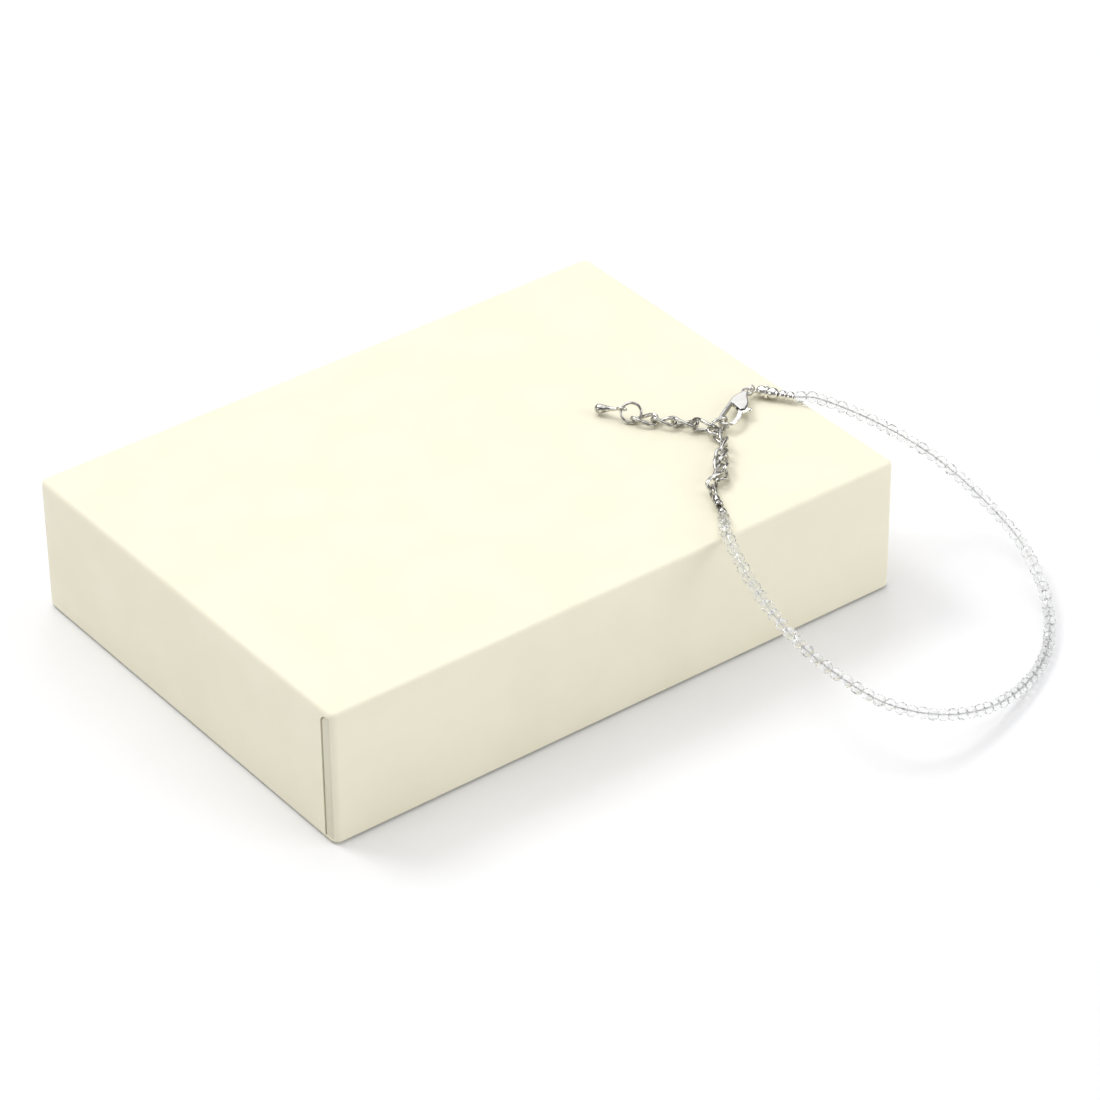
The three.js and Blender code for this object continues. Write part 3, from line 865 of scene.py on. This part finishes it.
@dataclass
class ExtenderChain:
    """A chain of blunt twisted links, from the end ring to the loop at the beads."""

    layout: Layout
    wire: float = 0.7
    length: float = 5.4
    width: float = 3.1
    twist: float = math.radians(45.0)
    squareness: float = 0.7
    steps: int = 64
    sides: int = 12
    probe: float = math.radians(4.0)
    loop_wire: float = 0.6
    loop_length: float = 4.0
    loop_width: float = 2.4
    collar_diameter: float = 1.5
    collar_length: float = 1.0
    links: tuple[LinkPlace, ...] = (
        LinkPlace((35.03, -8.06, 29.2), turn=0, dip=-3, roll=-2),
        LinkPlace((37.54, -10.97, 29.3), turn=2, dip=-1, roll=-17),
        LinkPlace((39.93, -13.97, 29.46), turn=2, dip=-3, roll=-34),
        LinkPlace((41.71, -17.24, 29.85), turn=-10, dip=-10, roll=104),
        LinkPlace((43.62, -19.3, 29.8), turn=-76, dip=4, roll=-45),
        LinkPlace((41.76, -22.06, 29.66), turn=11, dip=0, roll=-88),
        LinkPlace((40.09, -25.24, 29.76), turn=0, dip=3, roll=-91),
        LinkPlace((37.6, -27.3, 29.8), turn=-2, dip=4, roll=-132),
        LinkPlace((36.0, -29.4, 29.9), turn=0, dip=0, roll=-170),
        LinkPlace((34.39, -31.5, 29.52), turn=-2, dip=-5, roll=-206),
        LinkPlace((31.58, -32.93, 29.75), turn=0, dip=1, roll=-260),
    )

    def squared(self, value: float) -> float:
        """Return a sine made blunter."""
        return math.copysign(abs(value) ** self.squareness, value)

    def oval(self, angle: float, half_length: float, half_width: float, twist: float) -> Vector:
        """Return the middle of a link's wire at an angle round it.

        Args:
            angle: The angle round the link.
            half_length: Half its length, to the wire's middle.
            half_width: Half its width, to the wire's middle.
            twist: How far each end is turned about the link's length.

        Returns:
            The point.
        """
        along = self.squared(math.cos(angle))
        aside = self.squared(math.sin(angle)) * half_width
        turn = along * twist
        return Vector((along * half_length, aside * math.cos(turn), aside * math.sin(turn)))

    def add_link(self, bm: BMesh, length: float, width: float, wire: float, twist: float,
                 place: Matrix) -> None:
        """Bend a ring of wire into a link.

        Args:
            bm: The mesh it is added to.
            length: The link's length.
            width: Its width.
            wire: Its wire's diameter.
            twist: How far each end is turned.
            place: Where it goes.
        """
        half_length = (length - wire) / 2
        half_width = (width - wire) / 2
        for vert in add_ring(bm, 2.0, wire, Matrix.Identity(4), steps=self.steps, sides=self.sides):
            angle = math.atan2(vert.co.y, vert.co.x)
            outward = math.hypot(vert.co.x, vert.co.y) - 1.0
            above = vert.co.z
            middle = self.oval(angle, half_length, half_width, twist)
            ahead = self.oval(angle + self.probe, half_length, half_width, twist)
            behind = self.oval(angle - self.probe, half_length, half_width, twist)
            tangent = (ahead - behind).normalized()
            turn = self.squared(math.cos(angle)) * twist
            out = tangent.cross(Vector((0.0, -math.sin(turn), math.cos(turn)))).normalized()
            vert.co = place @ (middle + out * outward + out.cross(tangent) * above)

    def build(self) -> None:
        """Make the links and the loop that joins them to the wire."""
        places = [Vector(link.at) for link in self.links]
        for index, link in enumerate(self.links):
            before = places[max(index - 1, 0)]
            after = places[min(index + 1, len(places) - 1)]
            heading = after - before
            heading.z = 0.0
            place = frame_along(places[index], heading)
            for degrees, axis in ((link.turn, "Z"), (link.dip, "Y"), (link.roll, "X")):
                place = place @ Matrix.Rotation(math.radians(degrees), 4, axis)
            bm = bmesh.new()
            self.add_link(bm, self.length, self.width, self.wire, self.twist, place)
            piece(bm, f"twisted_link_{index + 1}", Finish.SILVER,
                  replaces=(f"chain_link_{index + 1}",))
        self.build_end()

    def build_end(self) -> None:
        """Make the loop and its collar."""
        layout = self.layout
        roll = Matrix.Rotation(layout.end_loop_roll, 4, "X")
        place = frame_along(layout.end_loop_place, layout.end_loop_direction) @ roll
        collar = self.collar_diameter / 2
        start = self.loop_length / 2 - self.loop_wire
        end = self.loop_length / 2 + self.collar_length
        seat = end - layout.seat_depth
        section = [
            (0.0, start), (collar * 0.7, start + 0.03), (collar * 0.94, start + 0.14),
            (collar, start + 0.3), (collar, end - 0.16), (collar * 0.9, end),
            (layout.bore, end), (layout.bore, seat), (0.0, seat),
        ]
        bm = bmesh.new()
        self.add_link(bm, self.loop_length, self.loop_width, self.loop_wire, 0.0, place)
        add_turned(bm, section, place)
        piece(bm, "end_loop", Finish.SILVER, replaces=("chain_end",))


@dataclass
class RingAndDrop:
    """The ring on the chain's free end, and the solid drop that hangs from it."""

    layout: Layout
    ring_diameter: float = 3.75
    ring_wire: float = 0.55
    ring_angle: float = math.radians(157.0)
    diameter: float = 1.9
    length: float = 4.0
    neck_diameter: float = 0.7
    stem_length: float = 0.9
    eye_diameter: float = 1.65
    eye_wire: float = 0.45
    direction: Vector = direction_field(-0.42, 0.84, -0.24)
    eye_facing: Vector = direction_field(-0.63, -0.18, -0.75)

    def eye_place(self) -> Vector:
        """Return the middle of the drop's eye, on the ring's wire."""
        facing = self.layout.end_ring_facing
        side = UP.cross(facing).normalized()
        above = facing.cross(side)
        reach = self.ring_diameter / 2
        return (self.layout.end_ring_place + side * math.cos(self.ring_angle) * reach
                + above * math.sin(self.ring_angle) * reach)

    def build(self) -> None:
        """Make the ring and the drop."""
        bm = bmesh.new()
        add_ring(bm, self.ring_diameter, self.ring_wire,
                 frame_facing(self.layout.end_ring_place, self.layout.end_ring_facing))
        piece(bm, "free_end_ring", Finish.SILVER, replaces=("end_ring",))
        stem = self.eye_diameter / 2 - self.eye_wire / 4
        start = self.eye_diameter / 2 + self.stem_length
        neck = self.neck_diameter / 2
        belly = self.diameter / 2
        end = start + self.length
        flare = ((0.0, neck), (0.18, belly * 0.45), (0.35, belly * 0.62), (0.52, belly * 0.79),
                 (0.66, belly * 0.92), (0.76, belly))
        cap = [(belly * math.cos(angle), end - belly * (1.0 - math.sin(angle)))
               for angle in (math.radians(degrees) for degrees in (15, 35, 55, 72))]
        section = [(0.0, stem), (neck * 0.8, stem + 0.1)]
        section += [(radius, start + share * self.length) for share, radius in flare]
        section += [*cap, (0.0, end)]
        place = frame_along(self.eye_place(), self.direction, self.eye_facing)
        bm = bmesh.new()
        add_turned(bm, section, place)
        add_ring(bm, self.eye_diameter, self.eye_wire, place)
        piece(bm, "round_drop", Finish.SILVER, replaces=("drop",))


# Gift box


@dataclass
class GiftBox:
    """A board box with a lift-off lid, wrapped in paper that laps round its corners."""

    length: float = 127.0
    width: float = 92.5
    height: float = 28.0
    lift: float = 0.6
    board: float = 1.8
    corner_round: float = 1.5
    corner_steps: int = 6
    edge_round: float = 0.9
    edge_steps: int = 5
    lap_width: float = 3.0
    lap_top: float = 2.6
    lap_curve_height: float = 1.5
    lap_turn: float = math.radians(31.0)
    lap_depth: float = 0.18
    seam_width: float = 0.3
    seam_depth: float = 0.35
    seam_foot: float = 0.3
    open_corner: tuple[int, int] = (-1, -1)
    closed_share: float = 0.3

    def build(self) -> None:
        """Make the lid with its seams, and give the tray its paper."""
        bm = bmesh.new()
        self.add_lid(bm)
        for end in (-1, 1):
            for side in (-1, 1):
                self.sink_lap(bm, end, side)
        lid = piece(bm, "wrapped_lid", Finish.PAPER, replaces=("box_lid",))
        # The lid's second material is the darker lap paper, a painted shade
        lid.data.materials.append(Finish.PASTED_LAP.material)
        tray = bpy.data.objects["box_tray"]
        tray.data.materials.clear()
        tray.data.materials.append(Finish.PAPER.material)

    def add_lid(self, bm: BMesh) -> None:
        """Add the lid: a block with rounded edges, opened below and given its wall.

        Args:
            bm: The mesh it is added to.
        """
        tall = self.height - self.lift
        size = Matrix.Diagonal((self.length, self.width, tall, 1.0))
        middle = Matrix.Translation((0.0, 0.0, self.lift + tall / 2))
        bmesh.ops.create_cube(bm, size=1.0, matrix=middle @ size)
        below = [face for face in bm.faces if face.normal.z < -0.5]
        bmesh.ops.delete(bm, geom=below, context="FACES_ONLY")
        upright = [edge for edge in bm.edges if abs(edge.verts[0].co.z - edge.verts[1].co.z) > 1.0]
        bmesh.ops.bevel(bm, geom=upright, offset=self.corner_round, offset_type="OFFSET",
                        affect="EDGES", segments=self.corner_steps, profile=0.5, material=-1)
        top = [edge for edge in bm.edges
               if all(vert.co.z > self.height - NEARLY_MM for vert in edge.verts)]
        bmesh.ops.bevel(bm, geom=top, offset=self.edge_round, offset_type="OFFSET", affect="EDGES",
                        segments=self.edge_steps, profile=0.5, material=-1)
        bmesh.ops.recalc_face_normals(bm, faces=bm.faces)
        bmesh.ops.solidify(bm, geom=bm.faces, thickness=self.board)

    def seam(self, end: int, side: int, steps: int = 4) -> list[Vector]:
        """Return the line where the paper ends, from its foot up and round to the corner.

        Args:
            end: The short side it is on, -1 or 1.
            side: The long side it is next to, -1 or 1.
            steps: How many steps go round its curve.

        Returns:
            Its points.
        """
        face = end * self.length / 2
        inner = self.width / 2 - self.lap_width
        curve_width = self.lap_width - self.corner_round
        shoulder = self.height - self.lap_top
        points = [Vector((face, side * inner, self.lift + self.seam_foot))]
        for step in range(steps + 1):
            angle = math.pi / 2 * step / steps
            across = inner + curve_width * (1.0 - math.cos(angle))
            above = shoulder + self.lap_curve_height * math.sin(angle)
            points.append(Vector((face, side * across, above)))
        return points

    def outer_end(self, bm: BMesh, end: int) -> list[BMFace]:
        """Return the flat outer faces of a short side.

        Args:
            bm: The lid.
            end: The short side, -1 or 1.

        Returns:
            The faces.
        """
        reach = self.length / 2 - NEARLY_MM
        return [face for face in bm.faces if min(vert.co.x * end for vert in face.verts) > reach]

    def corner_turn(self, face: BMFace, end: int, side: int) -> float:
        """Tell how far round a corner a face is.

        Args:
            face: A face of the lid.
            end: The short side next to the corner, -1 or 1.
            side: The long side next to it, -1 or 1.

        Returns:
            The angle from the short side, in radians, or -1 off the corner's outside.
        """
        middle = face.calc_center_median()
        ahead = middle.x * end - (self.length / 2 - self.corner_round)
        aside = middle.y * side - (self.width / 2 - self.corner_round)
        on_corner = ahead > 0.0 and aside > 0.0 and abs(face.normal.z) < 0.1
        return math.atan2(aside, ahead) if on_corner else -1.0

    @staticmethod
    def cut(bm: BMesh, faces: Sequence[BMFace], place: Vector, normal: Vector) -> None:
        """Cut some faces along a plane.

        Args:
            bm: The lid.
            faces: The faces.
            place: A place on the plane.
            normal: The plane's normal.
        """
        edges = dict.fromkeys(edge for face in faces for edge in face.edges)
        verts = dict.fromkeys(vert for face in faces for vert in face.verts)
        bmesh.ops.bisect_plane(bm, geom=[*faces, *edges, *verts], dist=WELD_MM,
                               plane_co=place, plane_no=normal)

    @staticmethod
    def sink(bm: BMesh, faces: Sequence[BMFace],
             shift: float) -> list[BMFace]:
        """Move some faces along X, and wall in the step round them.

        Args:
            bm: The lid.
            faces: The faces, which are used up.
            shift: How far they move.

        Returns:
            The moved faces.
        """
        grown = bmesh.ops.extrude_face_region(bm, geom=faces)["geom"]
        verts = [item for item in grown if isinstance(item, BMVert)]
        bmesh.ops.translate(bm, vec=(shift, 0.0, 0.0), verts=verts)
        bmesh.ops.delete(bm, geom=faces, context="FACES")
        moved = set(verts)
        return [item for item in grown if isinstance(item, BMFace) and set(item.verts) <= moved]

    def sink_lap(self, bm: BMesh, end: int, side: int) -> None:
        """Sink the paper's lap at a corner, and press the groove where the paper over it ends.

        Args:
            bm: The lid.
            end: The short side it is on, -1 or 1.
            side: The long side it is next to, -1 or 1.
        """
        is_open = (end, side) == self.open_corner
        share = 1.0 if is_open else self.closed_share
        half = self.seam_width * share / 2
        points = self.seam(end, side)
        top = points[-1].z + half
        cuts = [(points[0], UP)]
        for start, stop in zip(points, points[1:]):
            across = (stop - start).cross(Vector((1.0, 0.0, 0.0))).normalized()
            cuts += [(start + across * half, across), (start - across * half, across)]
        for place, normal in cuts:
            self.cut(bm, self.outer_end(bm, end), place, normal)
        for height in (points[0].z, top):
            corner = [face for face in bm.faces if self.corner_turn(face, end, side) > 0.0]
            self.cut(bm, corner, Vector((0.0, 0.0, height)), UP)
        lap = [face for face in self.outer_end(bm, end) if self.in_lap(face, side, points, half)]
        lap += [face for face in bm.faces if 0.0 < self.corner_turn(face, end, side) < self.lap_turn
                and points[0].z < face.calc_center_median().z < top]
        lap = self.sink(bm, lap, -end * self.lap_depth * share)
        # At the open corner the sunk lap takes the darker paper: painted shade on the strip
        if is_open:
            for face in lap:
                face.material_index = 1
        groove = [face for face in lap if self.near_line(face, points, half)]
        self.sink(bm, groove, -end * self.seam_depth * share)

    def in_lap(self, face: BMFace, side: int, points: Sequence[Vector], reach: float) -> bool:
        """Tell whether a face of a short side is on the lap or its groove.

        Args:
            face: The face.
            side: The long side next to the lap, -1 or 1.
            points: The groove's line.
            reach: Half the groove's width.

        Returns:
            Whether it is.
        """
        middle = face.calc_center_median()
        if middle.z < points[0].z or middle.y * side < points[0].y * side - reach:
            return False
        short = (points[-1].y - middle.y) / (points[-1].y - points[0].y)
        above = (middle.z - points[1].z) / (points[-1].z - points[1].z)
        inside = above < 0.0 or max(short, 0.0) ** 2 + above ** 2 < 1.0
        return inside or self.near_line(face, points, reach)

    @staticmethod
    def near_line(face: BMFace, points: Sequence[Vector], reach: float) -> bool:
        """Tell whether a face's middle is close to a line, seen along X.

        Args:
            face: The face.
            points: The line's points.
            reach: How close counts.

        Returns:
            Whether it is.
        """
        place = face.calc_center_median()
        place.x = points[0].x
        for start, stop in zip(points, points[1:]):
            span = stop - start
            share = (place - start).dot(span) / span.length_squared
            if 0.0 <= share <= 1.0 and (start + span * share - place).length < reach:
                return True
        return False


# Studio


@dataclass(frozen=True)
class Panel:
    """A square soft light: where it hangs and its side, in metres, and its power in watts."""

    name: str
    place: Triple
    size: float
    power: float


@dataclass
class Studio:
    """A pale floor, soft lights and the camera."""

    eye: Triple = (-0.4051, -0.5579, 0.4875)
    ahead: Triple = (0.49734, 0.65454, -0.56941)
    above: Triple = (0.35183, 0.44778, 0.82202)
    lens: float = 147.8
    sensor: float = 36.0
    nearest: float = 0.01
    floor_reach: float = 4.0
    floor_drop: float = 0.00005
    floor_colours: tuple[Triple, Triple] = ((0.86, 0.86, 0.875), (0.88, 0.88, 0.895))
    floor_blotch_mm: float = 60.0
    floor_roughness: float = 0.7
    room_light: float = 0.27
    panels: tuple[Panel, ...] = (
        Panel("overhead", (0.0, 0.3, 1.6), 2.4, 23.8),
        Panel("key", (-0.35, 0.75, 1.25), 0.5, 5.8),
        Panel("front_right", (1.0, -1.4, 0.7), 1.4, 13.8),
        Panel("left", (-1.5, 0.2, 0.6), 0.8, 3.2),
        Panel("backdrop", (0.8, 1.05, 0.95), 0.7, 1.8),
    )

    def build(self) -> None:
        """Make the floor, the lights and the camera."""
        self.lay_floor()
        for panel in self.panels:
            self.hang(panel)
        world = bpy.data.worlds.new("pale_room")
        world.use_nodes = True
        background = world.node_tree.nodes["Background"]
        background.inputs["Color"].default_value = (1.0, 1.0, 1.0, 1.0)
        background.inputs["Strength"].default_value = self.room_light
        bpy.context.scene.world = world
        bpy.context.scene.view_settings.view_transform = "Standard"
        self.place_camera()

    def lay_floor(self) -> None:
        """Lay the floor that everything stands on."""
        bm = bmesh.new()
        bmesh.ops.create_grid(bm, x_segments=1, y_segments=1, size=self.floor_reach,
                              matrix=Matrix.Translation((0.0, 0.0, -self.floor_drop)))
        shader = Shader("pale_floor")
        shader.colours(shader.noise(self.floor_blotch_mm), *self.floor_colours)
        shader.surface.inputs["Roughness"].default_value = self.floor_roughness
        floor = new_object("floor", new_mesh("floor", bm))
        floor.data.materials.append(shader.material)

    def hang(self, panel: Panel) -> None:
        """Hang a soft light that points at the box.

        Args:
            panel: The light.
        """
        light = bpy.data.lights.new(panel.name, "AREA")
        light.size = panel.size
        light.energy = panel.power
        lamp = new_object(panel.name, light)
        lamp.location = panel.place
        lamp.rotation_euler = (-Vector(panel.place)).to_track_quat("-Z", "Y").to_euler()

    def place_camera(self) -> None:
        """Place the camera where the photograph was taken from."""
        camera = bpy.data.cameras.new("camera")
        camera.sensor_width = self.sensor
        camera.lens = self.lens
        camera.clip_start = self.nearest
        back = -Vector(self.ahead).normalized()
        up = Vector(self.above).normalized()
        turn = Matrix((up.cross(back), up, back)).transposed().to_4x4()
        viewer = new_object("camera", camera)
        viewer.matrix_world = Matrix.Translation(self.eye) @ turn
        bpy.context.scene.camera = viewer


def main() -> None:
    """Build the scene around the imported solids."""
    logging.basicConfig(level=logging.INFO, format="%(message)s")
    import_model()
    Studio().build()
    layout = Layout()
    crimps = Crimps(layout)
    GiftBox().build()
    StringOfBeads(layout).build(crimps)
    crimps.build()
    BeadTip(layout).build()
    CastClasp().build()
    ExtenderChain(layout).build()
    RingAndDrop(layout).build()


if __name__ == "__main__":
    main()
